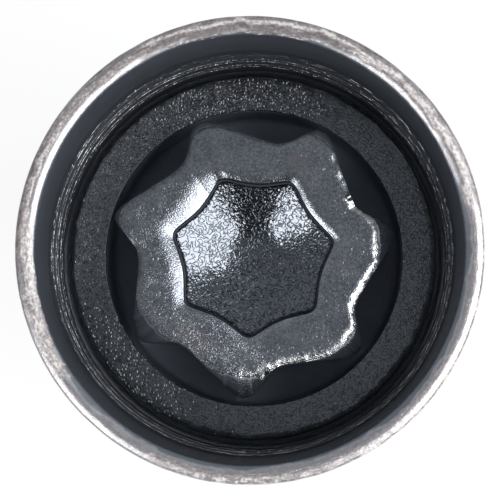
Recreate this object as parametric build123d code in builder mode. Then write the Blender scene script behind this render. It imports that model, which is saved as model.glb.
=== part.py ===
from build123d import *
from math import cos, degrees, hypot, radians, sin, tan
import os

# A locking wheel nut for a car's wheel stud, with a collar that spins freely round its core. Millimetres.
# It stands on the small end of its conical seat. +Z runs along its axis towards the open outer end, where
# the key goes in, and the origin is the middle of the seat's end face.

# Stud thread: a blind hole at its tapping size, with a drill point and a countersunk mouth
thread_diameter = 12.0
thread_pitch = 1.5
thread_depth = 19.0
drill_point_angle = 118.0
mouth_chamfer = 0.4
web_thickness = 2.85

# Conical seat and the flange above it
seat_angle = 60.0
end_land = 1.2
seat_step = 0.5
flange_ledge = 1.2
flange_thickness = 2.5
flange_chamfer = 0.3

# Core, with the ring-shaped wall round the key channel
core_diameter = 22.5
core_edge_round = 0.25
ring_wall = 2.15
channel_edge_round = 0.12
channel_depth = 5.0

# Lobed key post: each lobe climbs slowly to its tip and falls steeply into the next notch
lobe_count = 7
lobe_phase = 10.0
lobe_height = 2.15
key_gap = 0.1
flank_angle = 12.5
notch_angle = 8.5
lobe_tip_round = 0.45
notch_round = 0.6
post_rise = 3.25
lead_in_width = 1.2
lead_in_height = 1.4

# Star recess in the top of the post: concave sides, one point under each lobe, and a dished floor
post_wall = 1.85
star_hollow = 0.8
star_tip_round = 0.6
star_wall_depth = 0.7
dish_angle = 25.0
dish_round = 5.6

# Spinning collar
collar_wall = 1.25
mouth_gap = 0.5
mouth_gap_depth = 4.0
running_gap = 0.08
end_play = 0.1
cup_depth = 10.0
rim_chamfer = 0.3
foot_chamfer = 0.4
smooth_bore_depth = 5.0
smooth_bore_relief = 0.13
turned_groove_count = 2
turned_groove_drop = 1.6
turned_groove_pitch = 1.9
turned_groove_width = 0.6
turned_groove_depth = 0.08

# Retaining ring: a split wire ring, partly in a groove of the core and partly in one of the collar
wire_diameter = 1.2
ring_height = 4.0
ring_bite = 0.45
ring_gap = 3.0
ring_side_play = 0.1
ring_end_play = 0.05

# Radii that follow from those sizes
thread_hole_radius = (thread_diameter - thread_pitch) / 2
mouth_radius = thread_diameter / 2 + mouth_chamfer
end_radius = mouth_radius + end_land
core_radius = core_diameter / 2
flange_radius = core_radius + flange_ledge
seat_radius = flange_radius - seat_step
channel_radius = core_radius - ring_wall
lobe_tip_radius = channel_radius - key_gap
notch_radius = lobe_tip_radius - lobe_height
star_tip_radius = notch_radius - post_wall
star_valley_radius = star_tip_radius - star_hollow
land_radius = core_radius + running_gap
bore_radius = core_radius + mouth_gap
collar_radius = bore_radius + collar_wall
smooth_bore_radius = bore_radius + smooth_bore_relief
ring_radius = land_radius + ring_bite - wire_diameter / 2
ring_groove_width = wire_diameter + 2 * ring_side_play
core_groove_radius = core_radius - wire_diameter - ring_side_play
collar_groove_radius = land_radius + ring_bite + ring_end_play

# Heights above the end of the seat
seat_top = (seat_radius - end_radius) / tan(radians(seat_angle / 2))
shoulder = seat_top + flange_thickness
ring_middle = shoulder + ring_height
drill_point = thread_depth + thread_hole_radius / tan(radians(drill_point_angle / 2))
channel_floor = drill_point + web_thickness
ledge = channel_floor + channel_depth
post_top = ledge + post_rise
collar_foot = shoulder + end_play
land_top = ledge - mouth_gap_depth
rim = ledge + cup_depth
smooth_bore_foot = rim - smooth_bore_depth

# The dish of the star recess: a rounded middle, then a cone out to the star's points
dish_round_reach = dish_round * sin(radians(dish_angle))
dish_round_rise = dish_round * (1 - cos(radians(dish_angle)))
dish_rise = dish_round_rise + (star_tip_radius - dish_round_reach) * tan(radians(dish_angle))
star_floor = post_top - star_wall_depth - dish_rise

lobe_pitch = 360 / lobe_count


def polar(radius, angle):
    """The point at this radius and this angle in degrees."""
    return (radius * cos(radians(angle)), radius * sin(radians(angle)))


def reach(corner):
    """How far a sketch's corner lies from the axis."""
    return hypot(corner.X, corner.Y)


# The star recess, as the hollow that is cut out of the post
with BuildPart() as star_recess:
    with BuildSketch(Plane.XY.offset(star_floor)) as star_outline:
        with BuildLine():
            for point in range(lobe_count):
                tip_angle = lobe_phase + point * lobe_pitch
                ThreePointArc(
                    polar(star_tip_radius, tip_angle),
                    polar(star_valley_radius, tip_angle + lobe_pitch / 2),
                    polar(star_tip_radius, tip_angle + lobe_pitch),
                )
        make_face()
        fillet(star_outline.vertices(), star_tip_round)
    extrude(amount=post_top - star_floor)
    with BuildSketch(Plane.XZ):
        with BuildLine():
            middle = JernArc((0, star_floor), (1, 0), dish_round, dish_angle)
            Polyline(middle @ 1, (star_tip_radius, post_top - star_wall_depth), (star_tip_radius, post_top))
            Polyline((star_tip_radius, post_top), (0, post_top), (0, star_floor))
        make_face()
    revolve(axis=Axis.Z, mode=Mode.INTERSECT)

with BuildPart() as nut_body:
    # Seat, flange and core, turned about the axis
    with BuildSketch(Plane.XZ):
        with BuildLine():
            Polyline(
                (0, 0),
                (end_radius, 0),
                (seat_radius, seat_top),
                (flange_radius - flange_chamfer, seat_top),
                (flange_radius, seat_top + flange_chamfer),
                (flange_radius, shoulder - flange_chamfer),
                (flange_radius - flange_chamfer, shoulder),
                (core_radius, shoulder),
                (core_radius, ledge),
                (0, ledge),
                close=True,
            )
        make_face()
    revolve(axis=Axis.Z)
    fillet(nut_body.faces().sort_by(Axis.Z)[-1].edges(), core_edge_round)

    # Key channel
    with BuildSketch(Plane.XY.offset(channel_floor)):
        Circle(channel_radius)
    extrude(amount=channel_depth, mode=Mode.SUBTRACT)
    ledge_face = nut_body.faces().filter_by(Plane.XY).sort_by(Axis.Z)[-1]
    fillet(ledge_face.inner_wires().edges(), channel_edge_round)

    # Lobed post in the channel, with a lead-in cone for the key round its top
    with BuildSketch(Plane.XY.offset(channel_floor)) as post_outline:
        with BuildLine():
            corners = []
            for lobe in range(lobe_count):
                tip_angle = lobe_phase + lobe * lobe_pitch
                corners.append(polar(lobe_tip_radius, tip_angle))
                corners.append(polar(notch_radius, tip_angle + flank_angle))
                corners.append(polar(notch_radius, tip_angle + flank_angle + notch_angle))
            Polyline(*corners, close=True)
        make_face()
        half_way = (lobe_tip_radius + notch_radius) / 2
        fillet(post_outline.vertices().filter_by(lambda corner: reach(corner) < half_way), notch_round)
        fillet(post_outline.vertices().sort_by(reach)[-lobe_count:], lobe_tip_round)
    extrude(amount=post_top - channel_floor)
    with BuildSketch(Plane.XZ):
        with BuildLine():
            Polyline(
                (lobe_tip_radius - lead_in_width, post_top),
                (lobe_tip_radius, post_top),
                (lobe_tip_radius, post_top - lead_in_height),
                close=True,
            )
        make_face()
    revolve(axis=Axis.Z, mode=Mode.SUBTRACT)
    add(star_recess.part, mode=Mode.SUBTRACT)

    # Groove that the retaining ring springs into when the collar is pushed on
    with BuildSketch(Plane.XZ):
        with Locations((core_radius, ring_middle)):
            Rectangle(2 * (core_radius - core_groove_radius), ring_groove_width)
    revolve(axis=Axis.Z, mode=Mode.SUBTRACT)

    # Stud thread's blind hole and its mouth
    with BuildSketch(Plane.XZ):
        with BuildLine():
            Polyline(
                (0, 0),
                (mouth_radius, 0),
                (thread_hole_radius, mouth_radius - thread_hole_radius),
                (thread_hole_radius, thread_depth),
                (0, drill_point),
                close=True,
            )
        make_face()
    revolve(axis=Axis.Z, mode=Mode.SUBTRACT)

with BuildPart() as spin_collar:
    # Sleeve, turned about the axis: running land below, key mouth above
    with BuildSketch(Plane.XZ):
        with BuildLine():
            Polyline(
                (land_radius + foot_chamfer, collar_foot),
                (collar_radius - rim_chamfer, collar_foot),
                (collar_radius, collar_foot + rim_chamfer),
                (collar_radius, rim - rim_chamfer),
                (collar_radius - rim_chamfer, rim),
                (smooth_bore_radius + rim_chamfer, rim),
                (smooth_bore_radius, rim - rim_chamfer),
                (smooth_bore_radius, smooth_bore_foot),
                (bore_radius, smooth_bore_foot - smooth_bore_relief),
                (bore_radius, land_top),
                (land_radius, land_top - mouth_gap),
                (land_radius, collar_foot + foot_chamfer),
                close=True,
            )
        make_face()
    revolve(axis=Axis.Z)

    # Turned grooves round the lower bore, down from the smooth part
    with BuildSketch(Plane.XZ):
        for groove in range(turned_groove_count):
            groove_middle = smooth_bore_foot - turned_groove_drop - groove * turned_groove_pitch
            with BuildLine():
                Polyline(
                    (bore_radius, groove_middle - turned_groove_width / 2),
                    (bore_radius + turned_groove_depth, groove_middle),
                    (bore_radius, groove_middle + turned_groove_width / 2),
                    close=True,
                )
            make_face()
    revolve(axis=Axis.Z, mode=Mode.SUBTRACT)

    # Groove that keeps the retaining ring in the collar
    with BuildSketch(Plane.XZ):
        with Locations((land_radius, ring_middle)):
            Rectangle(2 * (collar_groove_radius - land_radius), ring_groove_width)
    revolve(axis=Axis.Z, mode=Mode.SUBTRACT)

with BuildPart() as retaining_ring:
    # Round wire bent to most of a circle
    with BuildSketch(Plane.XZ):
        with Locations((ring_radius, ring_middle)):
            Circle(wire_diameter / 2)
    revolve(axis=Axis.Z, revolution_arc=360 - degrees(ring_gap / ring_radius))

nut_body.part.label = "nut_body"
spin_collar.part.label = "spin_collar"
retaining_ring.part.label = "retaining_ring"

os.makedirs("parts", exist_ok=True)
export_step(nut_body.part, "parts/nut_body.step")
export_step(spin_collar.part, "parts/spin_collar.step")
export_step(retaining_ring.part, "parts/retaining_ring.step")
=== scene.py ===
import math

import bpy
import numpy as np
from mathutils import Matrix, Vector, noise


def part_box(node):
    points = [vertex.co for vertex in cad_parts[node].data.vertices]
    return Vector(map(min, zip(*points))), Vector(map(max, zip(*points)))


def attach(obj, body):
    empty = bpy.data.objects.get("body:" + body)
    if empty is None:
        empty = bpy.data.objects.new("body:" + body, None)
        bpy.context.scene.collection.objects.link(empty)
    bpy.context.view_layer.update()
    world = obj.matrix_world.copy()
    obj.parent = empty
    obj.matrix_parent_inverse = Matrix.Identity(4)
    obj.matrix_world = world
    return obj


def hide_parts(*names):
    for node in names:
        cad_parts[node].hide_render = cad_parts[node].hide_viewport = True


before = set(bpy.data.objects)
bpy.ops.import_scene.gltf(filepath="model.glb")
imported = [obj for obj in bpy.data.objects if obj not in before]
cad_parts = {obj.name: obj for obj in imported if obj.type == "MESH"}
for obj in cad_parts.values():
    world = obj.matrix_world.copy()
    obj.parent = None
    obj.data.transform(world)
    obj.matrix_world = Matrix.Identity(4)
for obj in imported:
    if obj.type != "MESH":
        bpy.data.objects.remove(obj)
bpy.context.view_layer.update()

# The looks of a used locking wheel nut, seen from its open outer end. Sizes are in millimetres and
# angles in degrees, in the CAD's frame. They become metres and radians where a mesh, a light or the
# camera is made. Right is +X and back is +Y.
MM = 0.001

# Heights and radii that the frame gives
nut_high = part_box("nut_body")[1] / MM
collar_low, collar_high = (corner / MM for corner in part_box("spin_collar"))
ring_low, ring_high = (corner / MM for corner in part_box("retaining_ring"))
POST_TOP = nut_high.z
FLANGE_RADIUS = min(nut_high.x, nut_high.y)
COLLAR_RADIUS = min(collar_high.x, collar_high.y)
COLLAR_FOOT = collar_low.z
RIM = collar_high.z
RING_MIDDLE = (ring_low.z + ring_high.z) / 2

# Seat and stud thread
END_RADIUS = 7.6
SEAT_STEP = 0.5
SEAT_HALF_ANGLE = 30.0
SEAT_RADIUS = FLANGE_RADIUS - SEAT_STEP
SEAT_TOP = (SEAT_RADIUS - END_RADIUS) / math.tan(math.radians(SEAT_HALF_ANGLE))
END_PLAY = 0.1
SHOULDER = COLLAR_FOOT - END_PLAY
FLANGE_EDGE = 0.3
THREAD_RADIUS = 6.0
THREAD_PITCH = 1.5
THREAD_LENGTH = 16.8
MOUTH_CHAMFER = 0.4
MOUTH_RADIUS = THREAD_RADIUS + MOUTH_CHAMFER
HOLE_RADIUS = THREAD_RADIUS - THREAD_PITCH / 2
HOLE_DEPTH = 19.0
DRILL_HALF_ANGLE = 59.0
DRILL_POINT = HOLE_DEPTH + HOLE_RADIUS / math.tan(math.radians(DRILL_HALF_ANGLE))

# Core, key channel and ledge
POST_RISE = 3.25
LEDGE = POST_TOP - POST_RISE
CHANNEL_DEPTH = 5.0
CHANNEL_FLOOR = LEDGE - CHANNEL_DEPTH
CHANNEL_ROUND = 0.3
CHANNEL_RADIUS = 9.1
CORE_RADIUS = 11.25
CORE_GROOVE_RADIUS = 9.95
GROOVE_HALF_WIDTH = 0.7

# Lobed post and star recess
LOBES = 7
LOBE_PHASE = 10.0
LOBE_PITCH = 360 / LOBES
LOBE_TIP = 9.0
LOBE_NOTCH = 6.85
FLANK_END = 12.5
NOTCH_END = 21.0
LOBE_SOFTNESS = 3.0
LEAD_IN_WIDTH = 1.2
LEAD_IN_HEIGHT = 1.4
LEAD_IN_SLOPE = LEAD_IN_HEIGHT / LEAD_IN_WIDTH
STAR_TIP = 5.0
STAR_VALLEY = 4.2
STAR_SOFTNESS = 3.0
STAR_WALL = 0.7
STAR_EDGE_ROUND = 0.1
STAR_EDGE_WIDTH = 0.5
STAR_EDGE_DROP = 0.14
STAR_WEAR_WIDTH = 1.7
STAR_WEAR_DROP = 0.5
DISH_ANGLE = 25.0
DISH_ROUND = 5.6

# How far the worn top of each lobe reaches from the axis, from the lobe near +X round
TOP_REACH = (7.6, 8.1, 8.15, 8.3, 7.3, 7.3, 7.65)

# Width of the post's bevelled edge, and the radius of the chips and the stain on its top
EDGE_BEVEL = 0.42
TOP_MARK_RADIUS = 6.2

# How far the star's edge is worn down round the axis, from 0 to 1: most at its left
STAR_WEAR_ANGLES = (108, 126, 148, 178, 208, 230)
STAR_WEAR = (0.0, 1.0, 0.7, 0.48, 0.36, 0.0)

# Wear of the post, each an arc round the axis: middle, half width and fade
CHEWED_RIGHT = (-35, 64, 14)
CHEWED_BACK = (42, 12, 8)
BURR_FRONT = (275, 2.2, 2.5)
BURR_RIGHT = (31, 1.2, 2)
CHIPPED_EDGE = (294, 24, 10)
FRAYED_EDGE = (230, 36, 16)
FLECKED_LEAD_IN = (262, 10, 8)
SCUFFED_TOP = (205, 75, 30)
CHIPPED_TOP = (236, 9, 10)
STAINED_TOP = (63, 6, 8)

# The ledge's roughness, its painted glints and the painted highlight on its inner edge, in the same way
SPARKLING_BACK = (95, 28, 16)
SPARKLING_LEFT = (222, 22, 14)
ROUGH_LEDGE = (140, 50, 40)
SMOOTH_LEDGE = (290, 50, 50)
CHANNEL_EDGE_PAINTED_HIGHLIGHT = (172, 40, 30)

# Collar
BORE_RADIUS = 11.75
SMOOTH_BORE_RADIUS = 11.88
LAND_RADIUS = 11.33
COLLAR_GROOVE_RADIUS = 11.83
COLLAR_FOOT_CHAMFER = 0.4
GAP_DEPTH = 4.0
LAND_TOP = LEDGE - GAP_DEPTH
SMOOTH_BORE_DEPTH = 5.0
SMOOTH_BORE_FOOT = RIM - SMOOTH_BORE_DEPTH

# Painted light in the gap and in the bore, pale films that lighten these deep walls, as arcs round the
# axis
THIN_PAINTED_LIGHT_LOW = (92, 60, 50)
THIN_PAINTED_LIGHT_HIGH = (92, 75, 50)
PAINTED_LIGHT_BORE = (300, 65, 50)

# Worn rim: a steep inner bevel, a narrow crest and a flatter outer bevel
RIM_INNER_DROP = 0.23
RIM_CREST_INSIDE = 12.21
RIM_CREST_OUTSIDE = 12.56
RIM_CREST_DROP = 0.04
RIM_OUTER_BEVEL = 12.9
RIM_OUTER_DROP = 0.13
RIM_OUTER_FOOT = 0.36

# Where the rim keeps its tarnish, and where it lost some of that, as arcs round the axis
TARNISHED_FRONT = (285, 90, 20)
CLEARED_FRONT = (285, 14, 12)
TARNISHED_BACK = (90, 24, 12)

# Turned part of the bore: two dark grooves and the rubbed crests beside them, as depths below the rim
GROOVE_DEPTHS = (6.6, 8.5)
GROOVE_WIDTH = 0.6
GROOVE_CUT = 0.08
CREST_DEPTHS = (5.4, 5.95, 7.2, 7.85, 9.05, 9.7)
CREST_RISE = 0.028
RUB_START = 4.9

# Looks of the turned part, as arcs round the axis. The first two paint light onto the crests, and the
# glinting crests get painted glints
PAINTED_LIGHT_LEFT = (215, 115, 60)
PAINTED_LIGHT_FRONT = (290, 60, 40)
TICKED_CRESTS = (140, 80, 40)
GLINTING_CRESTS = (118, 45, 40)
BACK_CRESTS = (92, 42, 40)
LEFT_CRESTS = (175, 50, 40)

# Films on the rim: middle and half width round the axis, inner and outer share of the rim, strength
CREAM_FILMS = (
    (36, 26, 0.4, 0.72, 0.7),
    (90, 28, 0.1, 0.16, 0.45),
    (90, 28, 0.6, 0.78, 0.75),
    (150, 28, 0.4, 0.7, 0.45),
    (184, 13, 0.05, 0.66, 0.4),
    (205, 10, 0.15, 0.7, 0.4),
    (270, 26, 0.58, 0.92, 0.3),
    (305, 10, 0.6, 0.8, 0.35),
    (310, 60, 0.93, 1.05, 0.8),
)
BROWN_FILMS = (
    (36, 25, 0.3, 0.36, 0.7),
    (36, 25, 0.76, 0.82, 0.5),
    (90, 27, 0.22, 0.55, 0.85),
    (126, 20, 0.3, 0.65, 0.5),
    (105, 95, 0.88, 1.05, 0.55),
    (166, 17, 0.75, 1.0, 0.7),
    (202, 9, 0.0, 0.3, 0.4),
    (270, 28, 0.46, 0.54, 0.75),
    (318, 14, 0.44, 0.54, 0.6),
    (350, 24, 0.5, 0.58, 0.6),
)

# Columns round the axis: fine where the key end shows, coarse elsewhere, coarsest in the thread
FINE_COLUMNS = 700
FINE_TURN = np.arange(FINE_COLUMNS) * math.tau / FINE_COLUMNS
COARSE_TURN = FINE_TURN[::2]
THREAD_TURN = COARSE_TURN[::2]

# Edges that turn by more than this stay crisp
CRISP_EDGE = 50.0

# Finishes of the nut's faces, by slot
OXIDE, GLAZE, DEEP_OXIDE_PAINTED_LIGHT, PLAIN = range(4)


def cylinder_noise(turn, radius, height, size):
    """Smooth noise from about -1 to 1 on a ring's points, with features of this size."""
    x, y, z = np.broadcast_arrays(radius * np.cos(turn), radius * np.sin(turn), height)
    return np.array([noise.noise(Vector(point) / size) for point in zip(x, y, z)])


def ripple(turn, knots, seed):
    """Smooth noise from -1 to 1 round the axis, with this many knots to the turn."""
    heights = np.random.default_rng(seed).uniform(-1, 1, knots)
    place = turn / math.tau * knots
    knot = np.floor(place).astype(int)
    part = place - knot
    share = part * part * (3 - 2 * part)
    return heights[knot % knots] * (1 - share) + heights[(knot + 1) % knots] * share


def arc_window(turn, middle, half_width, fade):
    """1 inside an arc round the axis and 0 outside it, fading over a few degrees."""
    away = np.abs((np.degrees(turn) - middle + 180) % 360 - 180)
    share = np.clip((half_width + fade / 2 - away) / fade, 0, 1)
    return share * share * (3 - 2 * share)


def soften(radii, spread):
    """Rounds an outline's corners by blurring its radius round the axis, over this many degrees."""
    waves = np.arange(len(radii) // 2 + 1)
    blur = np.exp(-0.5 * (waves * math.radians(spread)) ** 2)
    return np.fft.irfft(np.fft.rfft(radii) * blur, len(radii))


def chord(angle, start_radius, start, end_radius, end):
    """Radius at this angle of the straight line between two polar points."""
    angle, start, end = np.radians(angle), math.radians(start), math.radians(end)
    reach = start_radius * np.sin(angle - start) + end_radius * np.sin(end - angle)
    return start_radius * end_radius * math.sin(end - start) / reach


def lobe_outline(turn):
    """Radius of the post's side: a steep flank, a short notch, then a slow climb to the next tip."""
    angle = (np.degrees(turn) - LOBE_PHASE) % LOBE_PITCH
    flank = chord(angle, LOBE_TIP, 0, LOBE_NOTCH, FLANK_END)
    notch = chord(angle, LOBE_NOTCH, FLANK_END, LOBE_NOTCH, NOTCH_END)
    climb = chord(angle, LOBE_NOTCH, NOTCH_END, LOBE_TIP, LOBE_PITCH)
    return soften(np.select([angle < FLANK_END, angle < NOTCH_END], [flank, notch], climb), LOBE_SOFTNESS)


def star_outline(turn):
    """Radius of the star recess: concave sides between seven rounded points."""
    side = 2 * ((np.degrees(turn) - LOBE_PHASE) / LOBE_PITCH % 1) - 1
    return soften(STAR_VALLEY + (STAR_TIP - STAR_VALLEY) * side ** 2, STAR_SOFTNESS)


def dish_height(radius):
    """Height of the star recess's floor: a rounded middle, then a cone."""
    slope = math.tan(math.radians(DISH_ANGLE))
    middle_reach = DISH_ROUND * math.sin(math.radians(DISH_ANGLE))
    middle_rise = DISH_ROUND * (1 - math.cos(math.radians(DISH_ANGLE)))
    floor = POST_TOP - STAR_WALL - middle_rise - (STAR_TIP - middle_reach) * slope
    inside = np.minimum(radius, middle_reach)
    rise = DISH_ROUND - np.sqrt(DISH_ROUND ** 2 - inside ** 2)
    return floor + rise + np.maximum(radius - middle_reach, 0) * slope


def rounded(corners, steps):
    """A profile's points. Each corner (radius, height, setback) is a curve that starts that far off."""
    points = []
    for index, (radius, height, setback) in enumerate(corners):
        corner = np.array((radius, height))
        if setback == 0:
            points.append(corner)
            continue
        before = np.array(corners[index - 1][:2]) - corner
        after = np.array(corners[(index + 1) % len(corners)][:2]) - corner
        start = corner + before / np.linalg.norm(before) * setback
        end = corner + after / np.linalg.norm(after) * setback
        for share in np.linspace(0, 1, steps):
            points.append((1 - share) ** 2 * start + 2 * share * (1 - share) * corner + share ** 2 * end)
    return points


class Skin:
    """A closed mesh of rings round the Z axis, added in order along its surface."""

    def __init__(self):
        self.points = []
        self.faces = []
        self.zones = []
        self.marks = {"bare": [], "rub": [], "rough": [], "speck": [], "brown": [], "cream": []}
        self.first = None
        self.last = None

    def ring(self, turn, radius, height, zone=0, **marks):
        """Adds a ring and joins it to the last one. A turn of one column is a point on the axis."""
        x, y, z = np.broadcast_arrays(radius * np.cos(turn), radius * np.sin(turn), height)
        start = len(self.points)
        self.points += np.stack([x, y, z], axis=1).tolist()
        for mark, values in self.marks.items():
            values.append(np.broadcast_to(marks.get(mark, 0.0), turn.shape))
        added = np.arange(start, len(self.points))
        if self.last is None:
            self.first = added
        else:
            self.join(self.last, added, zone)
        self.last = added

    def join(self, before, after, zone):
        """Faces between two rings, one of which may have half as many columns, or be a point."""
        following = np.roll(before, -1)
        ahead = np.roll(after, -1)
        if len(before) == 1:
            corners = [np.full_like(after, before[0]), after, ahead]
        elif len(after) == 1:
            corners = [before, np.full_like(before, after[0]), following]
        elif len(before) == len(after):
            corners = [before, after, ahead, following]
        elif len(before) > len(after):
            corners = [before[::2], after, ahead, np.roll(before, -2)[::2], before[1::2]]
        else:
            corners = [before, after[::2], after[1::2], np.roll(after, -2)[::2], following]
        added = np.stack(corners, axis=1).tolist()
        self.faces += added
        self.zones += [zone] * len(added)

    def close(self, zone=0):
        """Joins the last ring to the first."""
        self.join(self.last, self.first, zone)

    def build(self, name, finishes):
        """Makes the mesh object, in metres."""
        mesh = bpy.data.meshes.new(name)
        mesh.from_pydata((np.array(self.points) * MM).tolist(), [], self.faces)
        for finish in finishes:
            mesh.materials.append(finish)
        mesh.polygons.foreach_set("material_index", self.zones)
        mesh.polygons.foreach_set("use_smooth", [True] * len(self.faces))
        for mark, values in self.marks.items():
            attribute = mesh.attributes.new(mark, "FLOAT", "POINT")
            attribute.data.foreach_set("value", np.concatenate(values).astype(np.float32))
        mesh.set_sharp_from_angle(angle=math.radians(CRISP_EDGE))
        made = bpy.data.objects.new(name, mesh)
        bpy.context.scene.collection.objects.link(made)
        return made


AXIS = np.zeros(1)


def star_wear():
    """How far the star's edge is worn down, from 0 to 1."""
    return np.interp(np.degrees(FINE_TURN), STAR_WEAR_ANGLES, STAR_WEAR)


def star_edge_drop():
    """How far the star's rounded edge lies below the top of the post."""
    return STAR_EDGE_DROP + (STAR_WEAR_DROP - STAR_EDGE_DROP) * star_wear()


def chewed_share():
    """How chewed the post's edge is, from 0 to 1."""
    return np.maximum(arc_window(FINE_TURN, *CHEWED_RIGHT), 0.35 * arc_window(FINE_TURN, *CHEWED_BACK))


def burr_share():
    """How far small burrs stand out of the post's edge, from 0 to 1."""
    return arc_window(FINE_TURN, *BURR_FRONT) + 0.6 * arc_window(FINE_TURN, *BURR_RIGHT)


def add_star_recess(skin, star):
    """The glazed dish, the low dull wall round it and the wall's rounded edge."""
    dish_rings = 24
    foot_round = 0.1
    lump_size = 0.9
    lump_height = 0.012
    skin.ring(AXIS, 0.0, dish_height(np.zeros(1)), GLAZE)
    for share in np.linspace(0, 1, dish_rings + 1)[1:]:
        outline = share * (star - foot_round) + (1 - share) * STAR_VALLEY
        radius = share * outline
        lumps = cylinder_noise(FINE_TURN, radius, 0, lump_size)
        skin.ring(FINE_TURN, radius, dish_height(radius) + lump_height * lumps, GLAZE)
    foot = dish_height(star)
    edge = POST_TOP - star_edge_drop()
    # Rings up the wall: how far out from the star's outline, height, finish and rub; in the deep oxide a
    # rub below 1 paints it paler as light
    wall = (
        (-0.05, foot + 0.05, GLAZE, 1.0),
        (-0.035, foot + 0.16, DEEP_OXIDE_PAINTED_LIGHT, 1.0),
        (0.0, edge - 0.12, DEEP_OXIDE_PAINTED_LIGHT, 1.0),
        (0.03, edge - 0.05, OXIDE, 0.4),
        (STAR_EDGE_ROUND, edge, OXIDE, 1.0),
    )
    for outwards, height, zone, rub in wall:
        skin.ring(FINE_TURN, star + outwards, height, zone, rub=rub)


def post_edge(lobe):
    """How far the post's worn top reaches from the axis, with its bites and burrs."""
    inset = 0.08
    least_inset = 0.05
    softness = 2.5
    burr_length = 0.2
    tips = LOBE_PHASE + LOBE_PITCH * np.arange(LOBES)
    reach = np.interp(np.degrees(FINE_TURN), tips, TOP_REACH, period=360)
    bites = np.maximum(ripple(FINE_TURN, 110, 3), 0) + 0.6 * np.maximum(ripple(FINE_TURN, 240, 4), 0)
    edge = soften(np.minimum(lobe - inset, reach), softness)
    edge = np.minimum(edge + burr_length * burr_share(), lobe - least_inset)
    return edge - (0.05 + 0.04 * chewed_share()) * bites


def add_post_top(skin, star, outer):
    """The post's rubbed top, with its scuffs, chips and stain. Returns the height of its outer ring."""
    top_rings = 18
    lump_size = 1.1
    lump_height = 0.012
    wear = star_wear()
    chewed = chewed_share()
    burr = burr_share()
    scuffed = arc_window(FINE_TURN, *SCUFFED_TOP)
    chipped = arc_window(FINE_TURN, *CHIPPED_EDGE)
    inner = star + STAR_EDGE_ROUND
    edge_width = STAR_EDGE_WIDTH + (STAR_WEAR_WIDTH - STAR_EDGE_WIDTH) * wear
    for share in np.linspace(0, 1, top_rings)[1:]:
        radius = inner + (outer - inner) * share ** 1.5
        drop = star_edge_drop() * np.maximum(1 - (radius - inner) / edge_width, 0) ** 2
        lumps = cylinder_noise(FINE_TURN, radius, 5, lump_size)
        height = POST_TOP - drop - lump_height * (1 + lumps)
        rough = 0.35 + 0.27 * np.maximum(scuffed, wear * (1 - share)) - 0.35 * wear * (1 - share) ** 2
        # Painted glints: white specks, more where scuffed, chewed and chipped
        speck = 0.012 + 0.035 * scuffed + 0.1 * chewed * share ** 3 + 0.25 * chipped * share ** 4
        away = np.abs(radius - TOP_MARK_RADIUS)
        chips = arc_window(FINE_TURN, *CHIPPED_TOP) * np.clip(1.6 - 1.6 * away, 0, 1)
        bare = 0.13 * scuffed + 0.25 * chewed * share ** 6 + burr * share ** 8 + 0.22 * chips
        bare = np.maximum(bare, 0.45 * wear * (1 - share) ** 2)
        brown = 0.5 * arc_window(FINE_TURN, *STAINED_TOP) * np.clip(1.5 - 2 * away, 0, 1)
        brown = np.maximum(brown, 0.6 * chips)
        marks = {"bare": bare, "rough": rough, "speck": speck, "brown": brown}
        skin.ring(FINE_TURN, radius, height, OXIDE, rub=1.0, **marks)
    return height


def add_post_edge(skin, edge, bevel, top):
    """The post's chewed, chipped and frayed edge. Returns how far it falls below the top."""
    chewed = chewed_share()
    burr = burr_share()
    chipped = arc_window(FINE_TURN, *CHIPPED_EDGE)
    frayed = arc_window(FINE_TURN, *FRAYED_EDGE)
    burr_height = 0.3
    crest = top + burr_height * burr
    rough = 0.05 + 0.15 * chewed + 0.4 * np.maximum(chipped, frayed)
    # Painted glints on the chipped edge
    speck = 0.5 * chipped
    for share in (0.3, 0.6, 0.85, 0.97, 1.0):
        radius = edge - bevel * (1 - share)
        fall = bevel * ((0.05 + 0.17 * chewed) * share + 0.1 * share ** 2)
        # Painted shade: the rub falls towards the bevel's outer rim, so the edge fades into dark oxide
        rub = 1 - (0.8 - 0.3 * np.maximum(chewed, frayed)) * share
        bare = np.maximum(np.maximum(chewed, burr) * min(2 * share, 1), 0.35 * frayed)
        skin.ring(FINE_TURN, radius, crest - fall, OXIDE, rub=rub, bare=bare, rough=rough, speck=speck)
    return fall


def add_post_side(skin, lobe, edge, top, edge_fall):
    """The lead-in for the key, with its bare flecks, and the lobed sides down to the channel."""
    side_rings = 8
    lump_size = 0.5
    lump_depth = 0.02
    chewed = chewed_share()
    flecked = 0.2 + 0.15 * chewed + 0.15 * arc_window(FINE_TURN, *FLECKED_LEAD_IN)
    for share in (0.15, 0.4, 0.7, 1.0):
        radius = edge + (lobe - edge) * share
        fall = edge_fall + LEAD_IN_SLOPE * (radius - edge)
        lumps = cylinder_noise(FINE_TURN, radius, POST_TOP - fall, lump_size)
        bare = flecked * (1 - 0.5 * share)
        # Painted light: where the rub is low the deep oxide is painted paler, a little near the lead-in's
        # top edge
        rub = 1 - 0.2 * (1 - share) * (1 - chewed)
        skin.ring(FINE_TURN, radius - lump_depth * (1 + lumps), top - fall, DEEP_OXIDE_PAINTED_LIGHT, rub=rub, bare=bare)
    lead_in_foot = top - fall
    foot = CHANNEL_FLOOR + CHANNEL_ROUND
    # Painted light down the lobes' sides: paler further down, and fully pale from halfway down
    for share in np.linspace(0, 1, side_rings + 1)[1:]:
        height = lead_in_foot + (foot - lead_in_foot) * share
        skin.ring(FINE_TURN, lobe, height, DEEP_OXIDE_PAINTED_LIGHT, rub=max(1 - 2 * share, 0))


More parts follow.
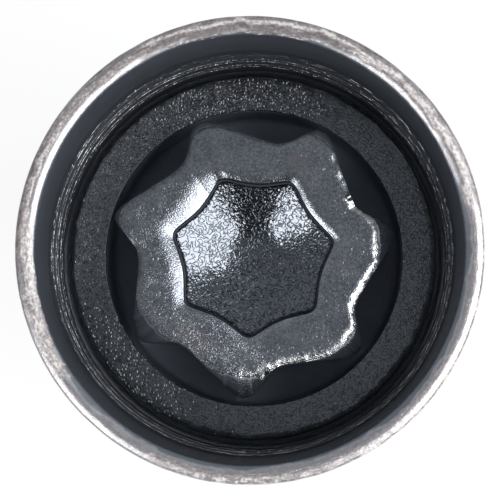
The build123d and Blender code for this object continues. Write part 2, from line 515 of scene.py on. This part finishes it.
def add_post(skin, star, lobe):
    """The lobed key post, from the star's edge out and down."""
    edge = post_edge(lobe)
    bevel = EDGE_BEVEL * (1 + 0.25 * ripple(FINE_TURN, 130, 5))
    top = add_post_top(skin, star, edge - bevel)
    edge_fall = add_post_edge(skin, edge, bevel, top)
    add_post_side(skin, lobe, edge, top, edge_fall)


def add_channel(skin, lobe):
    """The key channel's floor and wall."""
    wall_rings = 6
    foot = CHANNEL_FLOOR + CHANNEL_ROUND
    edge_drop = 0.07
    middle = (lobe + CHANNEL_RADIUS) / 2
    # Painted light: the channel's floor is painted pale, and its wall less so towards the top
    skin.ring(FINE_TURN, np.minimum(lobe + CHANNEL_ROUND, middle), CHANNEL_FLOOR, DEEP_OXIDE_PAINTED_LIGHT)
    skin.ring(FINE_TURN, np.maximum(CHANNEL_RADIUS - CHANNEL_ROUND, middle), CHANNEL_FLOOR, DEEP_OXIDE_PAINTED_LIGHT)
    for share in np.linspace(0, 1, wall_rings):
        height = foot + (LEDGE - edge_drop - foot) * share
        skin.ring(FINE_TURN, CHANNEL_RADIUS, height, DEEP_OXIDE_PAINTED_LIGHT, rub=0.8 * share)


def add_ledge(skin):
    """The pitted ledge round the channel, with its uneven outer edge."""
    ledge_rings = 14
    lump_size = 0.7
    lump_depth = 0.014
    inner_round = 0.04
    inner = CHANNEL_RADIUS + inner_round
    outer_round = 0.3 + 0.08 * ripple(FINE_TURN, 90, 6) + 0.06 * ripple(FINE_TURN, 250, 7)
    outer = CORE_RADIUS - outer_round
    # Painted glints on the ledge, thickest at the back and at the left
    speck = np.maximum(arc_window(FINE_TURN, *SPARKLING_BACK), arc_window(FINE_TURN, *SPARKLING_LEFT))
    speck = 0.02 + 0.5 * speck
    rough = 0.12 + 0.1 * arc_window(FINE_TURN, *ROUGH_LEDGE) - 0.08 * arc_window(FINE_TURN, *SMOOTH_LEDGE)
    for share in np.linspace(0, 1, ledge_rings):
        radius = inner + (outer - inner) * share
        lumps = cylinder_noise(FINE_TURN, radius, 9, lump_size)
        height = LEDGE - lump_depth * (1 + lumps)
        # Painted highlight: the ledge's inner edge is painted rubbed grey on the left
        rub = 0.7 * arc_window(FINE_TURN, *CHANNEL_EDGE_PAINTED_HIGHLIGHT) * (share == 0)
        skin.ring(FINE_TURN, radius, height, OXIDE, rub=rub, rough=rough, speck=speck)
    for angle, zone in ((30, OXIDE), (60, PLAIN), (90, PLAIN)):
        radius = outer + outer_round * math.sin(math.radians(angle))
        height = LEDGE - lump_depth - outer_round * (1 - math.cos(math.radians(angle)))
        skin.ring(FINE_TURN, radius, height, zone, rough=rough, speck=speck)


def add_seat_end(skin):
    """The core's bare running surface, ring groove, flange, conical seat and end face, downwards."""
    edge = 0.1
    edge_steps = 4
    corners = [
        (CORE_RADIUS, LEDGE - 0.6, 0),
        (CORE_RADIUS, (LEDGE + RING_MIDDLE) / 2, 0),
        (CORE_RADIUS, RING_MIDDLE + GROOVE_HALF_WIDTH, edge),
        (CORE_GROOVE_RADIUS, RING_MIDDLE + GROOVE_HALF_WIDTH, 0),
        (CORE_GROOVE_RADIUS, RING_MIDDLE - GROOVE_HALF_WIDTH, 0),
        (CORE_RADIUS, RING_MIDDLE - GROOVE_HALF_WIDTH, edge),
        (CORE_RADIUS, SHOULDER, edge),
        (FLANGE_RADIUS, SHOULDER, FLANGE_EDGE),
        (FLANGE_RADIUS, SEAT_TOP, FLANGE_EDGE),
        (SEAT_RADIUS, SEAT_TOP, edge),
        (END_RADIUS, 0, edge),
        (MOUTH_RADIUS, 0, edge),
        (THREAD_RADIUS, MOUTH_RADIUS - THREAD_RADIUS, 0),
    ]
    for radius, height in rounded(corners, edge_steps):
        skin.ring(COARSE_TURN, radius, height, PLAIN, bare=1.0 if height > SHOULDER else 0.0)


def add_thread(skin):
    """The stud thread, its run-out and the drill point."""
    rings_per_pitch = 9
    run_out = 1.2
    flank_slope = 1.4
    crest_flat = 0.2
    start = MOUTH_RADIUS - THREAD_RADIUS
    for height in np.arange(start + 0.1, THREAD_LENGTH + run_out, THREAD_PITCH / rings_per_pitch):
        phase = (height / THREAD_PITCH - THREAD_TURN / math.tau) % 1
        groove = np.clip(flank_slope * (1 - np.abs(2 * phase - 1)) - crest_flat, 0, 1)
        depth = np.clip((THREAD_LENGTH + run_out - height) / run_out, 0, 1)
        mouth = THREAD_RADIUS - np.clip(height - start, 0, THREAD_RADIUS - HOLE_RADIUS)
        radius = HOLE_RADIUS + (THREAD_RADIUS - HOLE_RADIUS) * groove * depth
        skin.ring(THREAD_TURN, np.maximum(radius, mouth), height, PLAIN)
    skin.ring(THREAD_TURN, HOLE_RADIUS, HOLE_DEPTH, PLAIN)
    skin.ring(THREAD_TURN, HOLE_RADIUS / 2, (HOLE_DEPTH + DRILL_POINT) / 2, PLAIN)
    skin.ring(AXIS, 0.0, np.full(1, DRILL_POINT), PLAIN)


def make_nut(finishes):
    """The nut's one-piece body."""
    skin = Skin()
    star = star_outline(FINE_TURN)
    lobe = lobe_outline(FINE_TURN)
    add_star_recess(skin, star)
    add_post(skin, star, lobe)
    add_channel(skin, lobe)
    add_ledge(skin)
    add_seat_end(skin)
    add_thread(skin)
    return skin.build("nut_core", finishes)


def add_turned_zone(skin):
    """The turned part of the bore, upwards: thin painted light at its foot, rubbed crests with painted
    light and painted glints in some arcs, and two dark grooves.
    """
    wall = BORE_RADIUS + 0.6 * CREST_RISE
    waviness = 0.005
    half = GROOVE_WIDTH / 2
    high_crests = 6.2
    low_crests = 9.4
    rings = []
    for depth in CREST_DEPTHS:
        rub = min(depth - RUB_START, 1.0)
        rings += [(depth + 0.2, wall, 0.2 * rub), (depth + CREST_RISE, BORE_RADIUS, rub)]
        rings += [(depth, BORE_RADIUS + CREST_RISE, rub), (depth - 0.14, wall, 0.5 * rub)]
    for depth in GROOVE_DEPTHS:
        rings += [(depth + half, wall, 0.1), (depth - half, wall, 0.1)]
        rings += [(depth, BORE_RADIUS + GROOVE_CUT, 0.0)]
    # Painted light: the crests are painted lighter in two arcs, at the left and at the front
    crest_tone_and_painted_light = 0.45 + 0.1 * arc_window(FINE_TURN, *PAINTED_LIGHT_LEFT) + 0.35 * arc_window(FINE_TURN, *PAINTED_LIGHT_FRONT)
    ticked = 0.25 + 0.75 * arc_window(FINE_TURN, *TICKED_CRESTS)
    glints = 0.3 * arc_window(FINE_TURN, *GLINTING_CRESTS)
    # At the back the highest crests are dull. The lowest are rubbed only there and at the left
    back = arc_window(FINE_TURN, *BACK_CRESTS)
    rubbed_low = np.maximum(back, 0.75 * arc_window(FINE_TURN, *LEFT_CRESTS))
    # Painted light at the top of the gap, everywhere but at the back
    painted_light = 0.3 * (1 - arc_window(FINE_TURN, *THIN_PAINTED_LIGHT_HIGH))
    skin.ring(FINE_TURN, BORE_RADIUS, LEDGE - 1.0, cream=painted_light)
    skin.ring(FINE_TURN, BORE_RADIUS, LEDGE - 0.3, cream=0.5 * painted_light)
    for index, (depth, radius, rub) in enumerate(sorted(rings, reverse=True)):
        radius = radius + waviness * ripple(FINE_TURN, 330, index)
        if depth < high_crests:
            rub = rub * (1 - 0.7 * back)
        elif depth > low_crests:
            rub = rub * rubbed_low
        skin.ring(FINE_TURN, radius, RIM - depth, rub=rub * crest_tone_and_painted_light, rough=rub * ticked, speck=rub * glints)


def add_collar_inside(skin):
    """The running land with its ring groove, then the turned bore and the smooth bore, upwards."""
    edge = 0.08
    edge_steps = 4
    smooth_rings = 8
    corners = [
        (LAND_RADIUS, COLLAR_FOOT, COLLAR_FOOT_CHAMFER),
        (LAND_RADIUS, RING_MIDDLE - GROOVE_HALF_WIDTH, edge),
        (COLLAR_GROOVE_RADIUS, RING_MIDDLE - GROOVE_HALF_WIDTH, 0),
        (COLLAR_GROOVE_RADIUS, RING_MIDDLE + GROOVE_HALF_WIDTH, 0),
        (LAND_RADIUS, RING_MIDDLE + GROOVE_HALF_WIDTH, edge),
        (LAND_RADIUS, LAND_TOP - BORE_RADIUS + LAND_RADIUS, edge),
        (BORE_RADIUS, LAND_TOP, edge),
        (BORE_RADIUS, LEDGE - 1.5, 0),
    ]
    before = (COLLAR_RADIUS, COLLAR_FOOT, 0)
    after = (BORE_RADIUS, LEDGE, 0)
    # Painted light in the gap: a pale film, thinner at the back
    gap_painted_light = 1 - 0.68 * arc_window(COARSE_TURN, *THIN_PAINTED_LIGHT_LOW)
    for radius, height in rounded([*corners, after, before], edge_steps)[:-2]:
        skin.ring(COARSE_TURN, radius, height, cream=gap_painted_light)
    add_turned_zone(skin)
    # Painted light on the front of the smooth bore, as a light stain-coloured film
    bore_painted_light = 0.15 * arc_window(FINE_TURN, *PAINTED_LIGHT_BORE)
    for height in np.linspace(SMOOTH_BORE_FOOT, RIM - 1.2, smooth_rings):
        skin.ring(FINE_TURN, SMOOTH_BORE_RADIUS, height, cream=bore_painted_light)


def rim_film(films, share):
    """How thick these films lie round this share of the rim's width, from its inner edge out."""
    blur = 0.15
    fade = 10
    film = np.zeros_like(FINE_TURN)
    place = share + 0.08 * ripple(FINE_TURN, 50, 21) + 0.06 * ripple(FINE_TURN, 160, 22)
    for middle, half_width, inner, outer, strength in films:
        across = np.clip(np.minimum(place - inner, outer - place) / blur + 0.5, 0, 1)
        film = np.maximum(film, strength * across * arc_window(FINE_TURN, middle, half_width, fade))
    return film


def add_rim(skin):
    """The worn rim: bevelled on both sides, a little dented, its oxide gone but for some tarnish."""
    edge_steps = 6
    dent_depth = 0.03
    dent_lean = 0.025
    corners = [
        (SMOOTH_BORE_RADIUS, RIM - 1.0, 0),
        (SMOOTH_BORE_RADIUS, RIM - RIM_INNER_DROP, 0.16),
        (RIM_CREST_INSIDE, RIM - RIM_CREST_DROP, 0.13),
        (RIM_CREST_OUTSIDE, RIM, 0.14),
        (RIM_OUTER_BEVEL, RIM - RIM_OUTER_DROP, 0.08),
        (COLLAR_RADIUS, RIM - RIM_OUTER_FOOT, 0.08),
        (COLLAR_RADIUS, RIM - 1.5, 0),
    ]
    dents = np.maximum(ripple(FINE_TURN, 60, 11), 0) ** 2
    dents = dents + 0.5 * np.maximum(ripple(FINE_TURN, 170, 12), 0) ** 2
    tarnished = arc_window(FINE_TURN, *TARNISHED_FRONT) - 0.4 * arc_window(FINE_TURN, *CLEARED_FRONT)
    tarnished = np.maximum(tarnished, 0.7 * arc_window(FINE_TURN, *TARNISHED_BACK))
    border = 0.2 + 0.1 * ripple(FINE_TURN, 45, 13) + 0.05 * ripple(FINE_TURN, 140, 14)
    bare_start = 0.05 + tarnished * border
    for radius, height in rounded(corners, edge_steps):
        depth = RIM - height
        weight = max(1 - depth, 0)
        outside = radius > RIM_CREST_OUTSIDE
        worn_reach = 0.9 if outside else 0.3
        worn = np.clip(1.6 - depth / worn_reach, 0, 1)
        lean = dent_lean * dents * weight * (-1 if outside else 1)
        share = (radius - SMOOTH_BORE_RADIUS) / (COLLAR_RADIUS - SMOOTH_BORE_RADIUS)
        bare = worn * np.clip(0.5 + (share - bare_start) / 0.35, 0, 1)
        cream = worn * rim_film(CREAM_FILMS, share)
        brown = worn * rim_film(BROWN_FILMS, share)
        dented = height - dent_depth * dents * weight
        skin.ring(FINE_TURN, radius + lean, dented, bare=bare, cream=cream, brown=brown)


def add_collar_outside(skin):
    """The collar's outer wall and foot, downwards."""
    foot_edge = 0.3
    edge_steps = 5
    bare_foot = COLLAR_FOOT + 0.4
    corners = [
        (COLLAR_RADIUS, RIM - 3, 0),
        (COLLAR_RADIUS, (RIM + COLLAR_FOOT) / 2, 0),
        (COLLAR_RADIUS, COLLAR_FOOT + 2, 0),
        (COLLAR_RADIUS, COLLAR_FOOT, foot_edge),
        (LAND_RADIUS + COLLAR_FOOT_CHAMFER, COLLAR_FOOT, 0),
    ]
    for radius, height in rounded(corners, edge_steps):
        skin.ring(COARSE_TURN, radius, height, bare=0.5 if height < bare_foot else 0.0)


def make_collar(finish):
    """The spinning collar."""
    skin = Skin()
    add_collar_inside(skin)
    add_rim(skin)
    add_collar_outside(skin)
    skin.close()
    return skin.build("collar_sleeve", [finish])


class Finish:
    """A procedural material, with short calls for the nodes that it needs."""

    def __init__(self, name, **constants):
        self.material = bpy.data.materials.new(name)
        self.material.use_nodes = True
        self.tree = self.material.node_tree
        self.shader = self.tree.nodes["Principled BSDF"]
        for socket, value in constants.items():
            self.shader.inputs[socket.replace("_", " ")].default_value = value
        self.place = self.node("TexCoord").outputs["Object"]
        flat = self.node("VectorMath", {0: self.place, 1: (1, 1, 0)}, operation="MULTIPLY").outputs[0]
        self.spoke = self.node("VectorMath", {0: flat}, operation="NORMALIZE").outputs[0]
        self.radius = self.node("VectorMath", {0: flat}, operation="LENGTH").outputs["Value"]
        self.height = self.node("SeparateXYZ", {0: self.place}).outputs["Z"]

    def node(self, kind, inputs=None, **settings):
        """Adds a node. An input is another node's socket, or a value."""
        made = self.tree.nodes.new("ShaderNode" + kind)
        for name, value in settings.items():
            setattr(made, name, value)
        for socket, value in (inputs or {}).items():
            self.feed(made.inputs[socket], value)
        return made

    def feed(self, socket, value):
        """Links a socket to another, or sets its value."""
        if isinstance(value, bpy.types.NodeSocket):
            self.tree.links.new(value, socket)
        else:
            socket.default_value = value

    def shade(self, **inputs):
        """Feeds the shader's own sockets."""
        for socket, value in inputs.items():
            self.feed(self.shader.inputs[socket.replace("_", " ")], value)

    def mark(self, name):
        """One of the mesh's own marks, such as how bare the metal is."""
        return self.node("Attribute", attribute_name=name).outputs["Fac"]

    def spots(self, size, detail=2.0, distortion=0.0, place=None):
        """Noise from 0 to 1 with features of this size in millimetres."""
        inputs = {"Vector": place or self.place, "Scale": 1 / (size * MM), "Detail": detail}
        return self.node("TexNoise", {**inputs, "Distortion": distortion}).outputs[0]

    def rings(self, size):
        """Noise in rings round the axis, as turning leaves it, of this size in millimetres."""
        across = self.node("CombineXYZ", {"X": self.radius, "Z": self.height}).outputs[0]
        return self.spots(size, 2, place=across)

    def streaks(self, count, length, detail=2.0):
        """Noise in streaks along the radius and axis: this many to the turn, this long in millimetres."""
        along = self.math("DIVIDE", self.math("ADD", self.radius, self.height), length * MM)
        lift = self.node("CombineXYZ", {"Z": along}).outputs[0]
        around_axis = {0: self.spoke, 1: (count / math.tau,) * 3, 2: lift}
        place = self.node("VectorMath", around_axis, operation="MULTIPLY_ADD").outputs[0]
        return self.node("TexNoise", {"Vector": place, "Scale": 1.0, "Detail": detail}).outputs[0]

    def worms(self, size, width):
        """Thin winding grooves along a smooth noise's middle level: 0 in a groove and 1 between them."""
        away = self.math("ABSOLUTE", self.math("SUBTRACT", self.spots(size, 0.5, 0.4), 0.5))
        return self.step(away, 0.0, width)

    def specks(self, mark, size):
        """Small long specks in cells of this width in millimetres, in the share that the mark says."""
        stretch = (1, 0.5, 0.3)
        place = self.node("VectorMath", {0: self.place, 1: stretch}, operation="MULTIPLY").outputs[0]
        cells = self.node("TexVoronoi", {"Vector": place, "Scale": 1 / (size * MM)}).outputs
        chance = self.node("SeparateColor", {0: cells["Color"]}).outputs
        lit = self.step(self.math("SUBTRACT", self.mark(mark), chance[0]), 0.0, 0.02)
        strength = self.math("MULTIPLY", lit, self.slide(chance[1], 0.3, 1.0))
        return self.math("MULTIPLY", strength, self.step(cells["Distance"], 0.45, 0.2))

    def worn(self, mark, pattern, spread, low, high):
        """A mark whose border follows a pattern: 0 up to low and 1 from high on."""
        shifted = self.math("ADD", self.mark(mark), self.slide(pattern, -spread, spread))
        return self.step(shifted, low, high)

    def math(self, operation, first, second=0.0):
        """One sum on two numbers."""
        return self.node("Math", {0: first, 1: second}, operation=operation).outputs[0]

    def step(self, value, low, high):
        """0 up to low and 1 from high on, smooth between them."""
        inputs = {"Value": value, "From Min": low, "From Max": high}
        return self.node("MapRange", inputs, interpolation_type="SMOOTHSTEP").outputs[0]

    def slide(self, share, first, second):
        """A number between two others."""
        return self.node("Mix", {0: share, 2: first, 3: second}, data_type="FLOAT").outputs[0]

    def blend(self, share, first, second):
        """A colour between two others."""
        first, second = (self.colour(value) for value in (first, second))
        return self.node("Mix", {0: share, 6: first, 7: second}, data_type="RGBA").outputs[2]

    def tones(self, value, lowest, middles, highest):
        """A colour that runs from the lowest to the highest tone, through others at places between."""
        made = self.node("ValToRGB", {0: value})
        for element, tone in zip(made.color_ramp.elements, (lowest, highest)):
            element.color = self.colour(tone)
        for place, tone in middles:
            made.color_ramp.elements.new(place).color = self.colour(tone)
        return made.outputs[0]

    @staticmethod
    def colour(value):
        """A colour socket as it is, or three numbers with their alpha."""
        return value if isinstance(value, bpy.types.NodeSocket) else (*value, 1.0)

    def bump(self, height, distance, normal=None, strength=1.0):
        """A normal that follows this height, which rises to this distance in millimetres."""
        inputs = {"Height": height, "Distance": distance * MM, "Strength": strength}
        if normal:
            inputs["Normal"] = normal
        return self.node("Bump", inputs).outputs[0]


# Tint of the gloss on black oxide
OXIDE_TINT = (0.88, 0.925, 0.945, 1.0)


def oxide_finish():
    """The nut's black oxide: pitted on the ledge, rubbed satin grey on the post, bare where chewed, with
    painted glints as white specks.
    """
    finish = Finish("pitted_black_oxide")
    grain = finish.spots(0.1, 2)
    mottle = finish.spots(1.5, 4)
    worms = finish.worms(0.2, 0.1)
    rub = finish.worn("rub", grain, 0.25, 0.25, 0.75)
    bare = finish.worn("bare", grain, 0.5, 0.4, 0.6)
    # Painted glints: white, non-metal specks that stay bright under any light
    speck = finish.specks("speck", 0.1)
    coat = finish.blend(mottle, (0.104, 0.112, 0.123), (0.161, 0.17, 0.181))
    coat = finish.blend(worms, (0.054, 0.058, 0.066), coat)
    haze = finish.step(finish.slide(0.65, mottle, finish.spots(0.13, 3)), 0.22, 0.78)
    rubbed = finish.blend(haze, (0.099, 0.112, 0.133), (0.312, 0.326, 0.349))
    rubbed = finish.blend(finish.mark("brown"), rubbed, (0.27, 0.255, 0.262))
    steel = finish.blend(grain, (0.44, 0.445, 0.455), (0.74, 0.745, 0.75))
    colour = finish.blend(bare, finish.blend(rub, coat, rubbed), steel)
    colour = finish.blend(speck, colour, finish.blend(grain, (0.3, 0.31, 0.325), (0.95, 0.95, 0.95)))
    metal = finish.math("SUBTRACT", 1.0, speck)
    gloss = finish.slide(bare, finish.slide(grain, 0.13, 0.26), 0.16)
    rough = finish.math("MULTIPLY", finish.mark("rough"), finish.slide(finish.spots(0.6, 3), 0.3, 1.7))
    pits = finish.bump(finish.spots(0.15, 1, 0.6), 0.1, strength=rough)
    pitted = finish.bump(worms, 0.012, pits, strength=finish.math("MULTIPLY", rough, 3.0))
    scuffed = finish.bump(finish.spots(0.08, 1), 0.055, strength=rough)
    normal = finish.node("Mix", {0: rub, 4: pitted, 5: scuffed}, data_type="VECTOR").outputs[1]
    finish.shade(Base_Color=colour, Metallic=metal, Roughness=gloss, Normal=normal)
    return finish.material


def glaze_finish():
    """The star recess's glossier oxide, with worm-like wrinkles."""
    finish = Finish("glazed_black_oxide", Metallic=1.0)
    worms = finish.worms(0.22, 0.07)
    film = finish.blend(finish.spots(0.9, 3), (0.088, 0.099, 0.115), (0.15, 0.159, 0.173))
    colour = finish.blend(worms, (0.042, 0.047, 0.054), film)
    rough = finish.slide(finish.spots(0.12, 2), 0.05, 0.1)
    normal = finish.bump(worms, 0.009, finish.bump(finish.spots(0.2, 0.5, 0.6), 0.024))
    finish.shade(Base_Color=colour, Roughness=rough, Normal=normal)
    return finish.material


def deep_oxide_painted_light_finish():
    """The key channel's black oxide, painted paler as light where it lies deep, and the dark lobes and
    star wall above it, with bare flecks.
    """
    finish = Finish("deep_black_oxide_painted_light", IOR=1.25, Specular_Tint=OXIDE_TINT)
    flecks = finish.worn("bare", finish.spots(0.08, 1), 0.5, 0.4, 0.6)
    # Painted light: a pale blue where the rub is low, standing in for light deep in the channel
    painted_light = finish.blend(finish.spots(0.9, 4), (0.24, 0.27, 0.324), (0.323, 0.355, 0.408))
    colour = finish.blend(finish.mark("rub"), painted_light, (0.052, 0.06, 0.073))
    colour = finish.blend(flecks, colour, (0.4, 0.42, 0.45))
    rough = finish.slide(finish.spots(0.3, 2), 0.45, 0.65)
    finish.shade(Base_Color=colour, Roughness=rough, Normal=finish.bump(finish.spots(0.2, 2), 0.03))
    return finish.material


def plain_finish():
    """The unseen end's plain black oxide and the core's bare running surface, both faintly turned."""
    finish = Finish("plain_black_oxide", IOR=1.6, Specular_Tint=OXIDE_TINT)
    marks = finish.rings(0.12)
    mottle = finish.spots(1.6, 3)
    bare = finish.mark("bare")
    colour = finish.blend(mottle, (0.018, 0.02, 0.024), (0.04, 0.042, 0.048))
    colour = finish.blend(bare, colour, finish.blend(mottle, (0.5, 0.5, 0.51), (0.6, 0.6, 0.61)))
    rough = finish.slide(finish.spots(0.3, 2), 0.34, 0.5)
    finish.shade(Base_Color=colour, Metallic=bare, Roughness=rough, Normal=finish.bump(marks, 0.008))
    return finish.material


def collar_finish():
    """The collar's black oxide: painted darker deep in the bore as shade, rubbed where turned, with
    painted light in the gap and painted glints on the crests, stained bare steel on the rim.
    """
    finish = Finish("worn_collar_oxide", IOR=2.3, Specular_Tint=OXIDE_TINT)
    marks = finish.rings(0.1)
    mottle = finish.spots(0.5, 4)
    fine = finish.spots(0.1, 2)
    ticks = finish.spots(0.13, 1)
    flecks = finish.slide(0.5, finish.streaks(150, 0.14, 3), finish.spots(0.16, 2))
    blotch = finish.math("MULTIPLY", finish.math("SUBTRACT", flecks, 0.5), 2.6)
    bare = finish.worn("bare", mottle, 0.25, 0.2, 0.8)
    rub = finish.worn("rub", ticks, 0.6, 0.4, 0.7)
    # This mark is both the rim's cream stain and the painted light in the gap and the bore
    cream = finish.mark("cream")
    brown = finish.mark("brown")
    # Painted glints on the crests, as white specks
    speck = finish.specks("speck", 0.12)

    # Oxide of the bore, painted darker deep down as shade, and of the outer wall
    high = finish.step(finish.height, SMOOTH_BORE_FOOT * MM, (RIM - 1) * MM)
    coat = finish.blend(high, (0.014, 0.016, 0.022), (0.03, 0.034, 0.044))
    coat = finish.blend(rub, coat, (0.36, 0.365, 0.38))
    outside = finish.step(finish.radius, RIM_OUTER_BEVEL * MM, (COLLAR_RADIUS - 0.02) * MM)
    wall = finish.blend(finish.spots(1.6, 4), (0.04, 0.045, 0.053), (0.085, 0.092, 0.104))
    coat = finish.blend(outside, coat, wall)

    # Bare steel of the rim, with tarnish where it meets the oxide
    steel = finish.blend(flecks, (0.16, 0.153, 0.165), (0.54, 0.52, 0.528))
    tarnish = finish.blend(flecks, (0.1, 0.116, 0.138), (0.24, 0.264, 0.3))
    tarnish = finish.blend(finish.step(bare, 0.0, 0.5), coat, tarnish)
    colour = finish.blend(finish.step(bare, 0.4, 1.0), tarnish, steel)

    # Stains above the gap and painted light in it, a pale blue film, then the painted glints on the
    # crests
    film = finish.math("ADD", finish.math("MAXIMUM", cream, brown), finish.math("MULTIPLY", blotch, 0.25))
    film = finish.step(film, 0.12, 0.42)
    tone = finish.math("MULTIPLY", finish.math("SUBTRACT", cream, brown), 0.5)
    tone = finish.math("ADD", finish.math("ADD", tone, blotch), 0.5)
    middles = [(0.3, (0.14, 0.107, 0.104)), (0.6, (0.27, 0.232, 0.228))]
    stain = finish.tones(tone, (0.05, 0.036, 0.034), middles, (0.58, 0.547, 0.52))
    # Below the ledge the film is a pale blue: painted light in the gap
    above_gap = finish.step(finish.height, (LEDGE - 1) * MM, LEDGE * MM)
    colour = finish.blend(film, colour, finish.blend(above_gap, (0.68, 0.74, 0.83), stain))
    colour = finish.blend(speck, colour, (0.9, 0.9, 0.9))

    metal = finish.math("MAXIMUM", bare, finish.math("MULTIPLY", rub, 0.6))
    metal = finish.slide(film, finish.math("MAXIMUM", metal, outside), 0.15)
    metal = finish.math("MULTIPLY", metal, finish.math("SUBTRACT", 1.0, speck))
    rough = finish.slide(film, finish.slide(fine, 0.28, 0.48), 0.5)
    ticked = finish.bump(ticks, 0.08, strength=finish.mark("rough"))
    normal = finish.bump(marks, 0.008, finish.bump(fine, 0.012, ticked))
    finish.shade(Base_Color=colour, Metallic=metal, Roughness=rough, Normal=normal)
    return finish.material


def wire_finish():
    """The retaining ring's oiled spring steel, drawn along its length."""
    finish = Finish("oiled_spring_wire", Metallic=1.0)
    marks = finish.rings(0.06)
    colour = finish.blend(finish.spots(0.8, 3), (0.28, 0.275, 0.27), (0.4, 0.4, 0.405))
    rough = finish.slide(marks, 0.25, 0.4)
    finish.shade(Base_Color=colour, Roughness=rough, Normal=finish.bump(marks, 0.005))
    return finish.material


def floor_finish():
    """A pale floor that shows as white behind the nut and keeps a faint shadow."""
    finish = Finish("pale_floor", Roughness=0.8)
    finish.shade(Base_Color=finish.blend(finish.spots(40, 2), (0.87, 0.87, 0.87), (0.9, 0.9, 0.9)))
    path = finish.node("LightPath").outputs
    seen = finish.math("MAXIMUM", path["Is Camera Ray"], path["Is Glossy Ray"])
    seen = finish.math("MAXIMUM", seen, path["Is Transmission Ray"])
    white = finish.node("Emission", {"Color": (1, 1, 1, 1), "Strength": 1.0}).outputs[0]
    share = finish.math("MULTIPLY", seen, 0.85)
    mixed = finish.node("MixShader", {0: share, 1: finish.shader.outputs[0], 2: white}).outputs[0]
    finish.feed(finish.tree.nodes["Material Output"].inputs["Surface"], mixed)
    return finish.material


def make_floor():
    """A flat floor just under the nut."""
    half = 1.5
    level = -0.02 * MM
    corners = [(-half, -half, level), (half, -half, level), (half, half, level), (-half, half, level)]
    mesh = bpy.data.meshes.new("floor")
    mesh.from_pydata(corners, [], [(0, 1, 2, 3)])
    mesh.materials.append(floor_finish())
    floor = bpy.data.objects.new("floor", mesh)
    bpy.context.scene.collection.objects.link(floor)


KEY_END = Vector((0, 0, POST_TOP * MM))


def around(azimuth, elevation, distance):
    """A place this far from the middle of the key end, in metres."""
    azimuth, elevation = math.radians(azimuth), math.radians(elevation)
    flat = math.cos(elevation)
    way = Vector((flat * math.cos(azimuth), flat * math.sin(azimuth), math.sin(elevation)))
    return KEY_END + way * distance


def add_softbox(name, azimuth, elevation, width, height, brightness):
    """A softbox that looks this wide and high from the nut, in degrees."""
    distance = 0.5
    lamp = bpy.data.lights.new(name, "AREA")
    lamp.shape = "RECTANGLE"
    lamp.size = 2 * distance * math.tan(math.radians(width / 2))
    lamp.size_y = 2 * distance * math.tan(math.radians(height / 2))
    lamp.energy = brightness * math.pi * lamp.size * lamp.size_y
    box = bpy.data.objects.new(name, lamp)
    box.location = around(azimuth, elevation, distance)
    box.rotation_mode = "QUATERNION"
    box.rotation_quaternion = (KEY_END - box.location).to_track_quat("-Z", "Y")
    bpy.context.scene.collection.objects.link(box)


def add_lights():
    """A large softbox at the right, a smaller one at the left, and a bluish grey room, dark in front."""
    add_softbox("softbox_right", azimuth=341, elevation=44.5, width=58, height=38, brightness=6.6)
    add_softbox("softbox_left", azimuth=221, elevation=38, width=27, height=30, brightness=6.6)
    world = bpy.data.worlds.new("studio")
    world.use_nodes = True
    nodes = world.node_tree.nodes
    links = world.node_tree.links
    way = nodes.new("ShaderNodeTexCoord").outputs["Generated"]
    towards_front = nodes.new("ShaderNodeVectorMath")
    towards_front.operation = "DOT_PRODUCT"
    towards_front.inputs[1].default_value = (0, -0.77, 0.64)
    links.new(way, towards_front.inputs[0])
    ramp = nodes.new("ShaderNodeValToRGB")
    links.new(towards_front.outputs["Value"], ramp.inputs[0])
    back, front = ramp.color_ramp.elements
    back.color = (0.557, 0.58, 0.618, 1)
    front.color = (0.096, 0.1, 0.107, 1)
    front.position = 0.95
    for place in (0.4, 0.77):
        ramp.color_ramp.elements.new(place).color = (0.384, 0.4, 0.426, 1)
    links.new(ramp.outputs[0], nodes["Background"].inputs["Color"])
    bpy.context.scene.world = world


def add_camera():
    """The camera, looking down into the key end from a little below and right of its axis."""
    sensor = 36.0
    view_width = 27.5
    stand = Vector((2.5, -4.5, RIM + 85.0))
    target = Vector((1.1, -2.0, RIM))
    middle = Vector((0.05, -0.055, RIM))
    camera = bpy.data.cameras.new("camera")
    camera.sensor_width = sensor
    camera.lens = sensor * (target - stand).length / view_width
    camera.shift_x = (middle - target).x / view_width
    camera.shift_y = (middle - target).y / view_width
    camera.clip_start = 0.001
    holder = bpy.data.objects.new("camera", camera)
    holder.location = stand * MM
    back = (stand - target).normalized()
    right = Vector((0, 1, 0)).cross(back).normalized()
    holder.rotation_mode = "QUATERNION"
    holder.rotation_quaternion = Matrix((right, back.cross(right), back)).transposed().to_quaternion()
    bpy.context.scene.collection.objects.link(holder)
    bpy.context.scene.camera = holder


nut = make_nut([oxide_finish(), glaze_finish(), deep_oxide_painted_light_finish(), plain_finish()])
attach(nut, "nut")
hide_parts("nut_body")

collar = make_collar(collar_finish())
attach(collar, "collar")
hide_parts("spin_collar")

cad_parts["retaining_ring"].material_slots[0].material = wire_finish()

make_floor()
add_lights()
add_camera()
bpy.context.scene.view_settings.view_transform = "Standard"
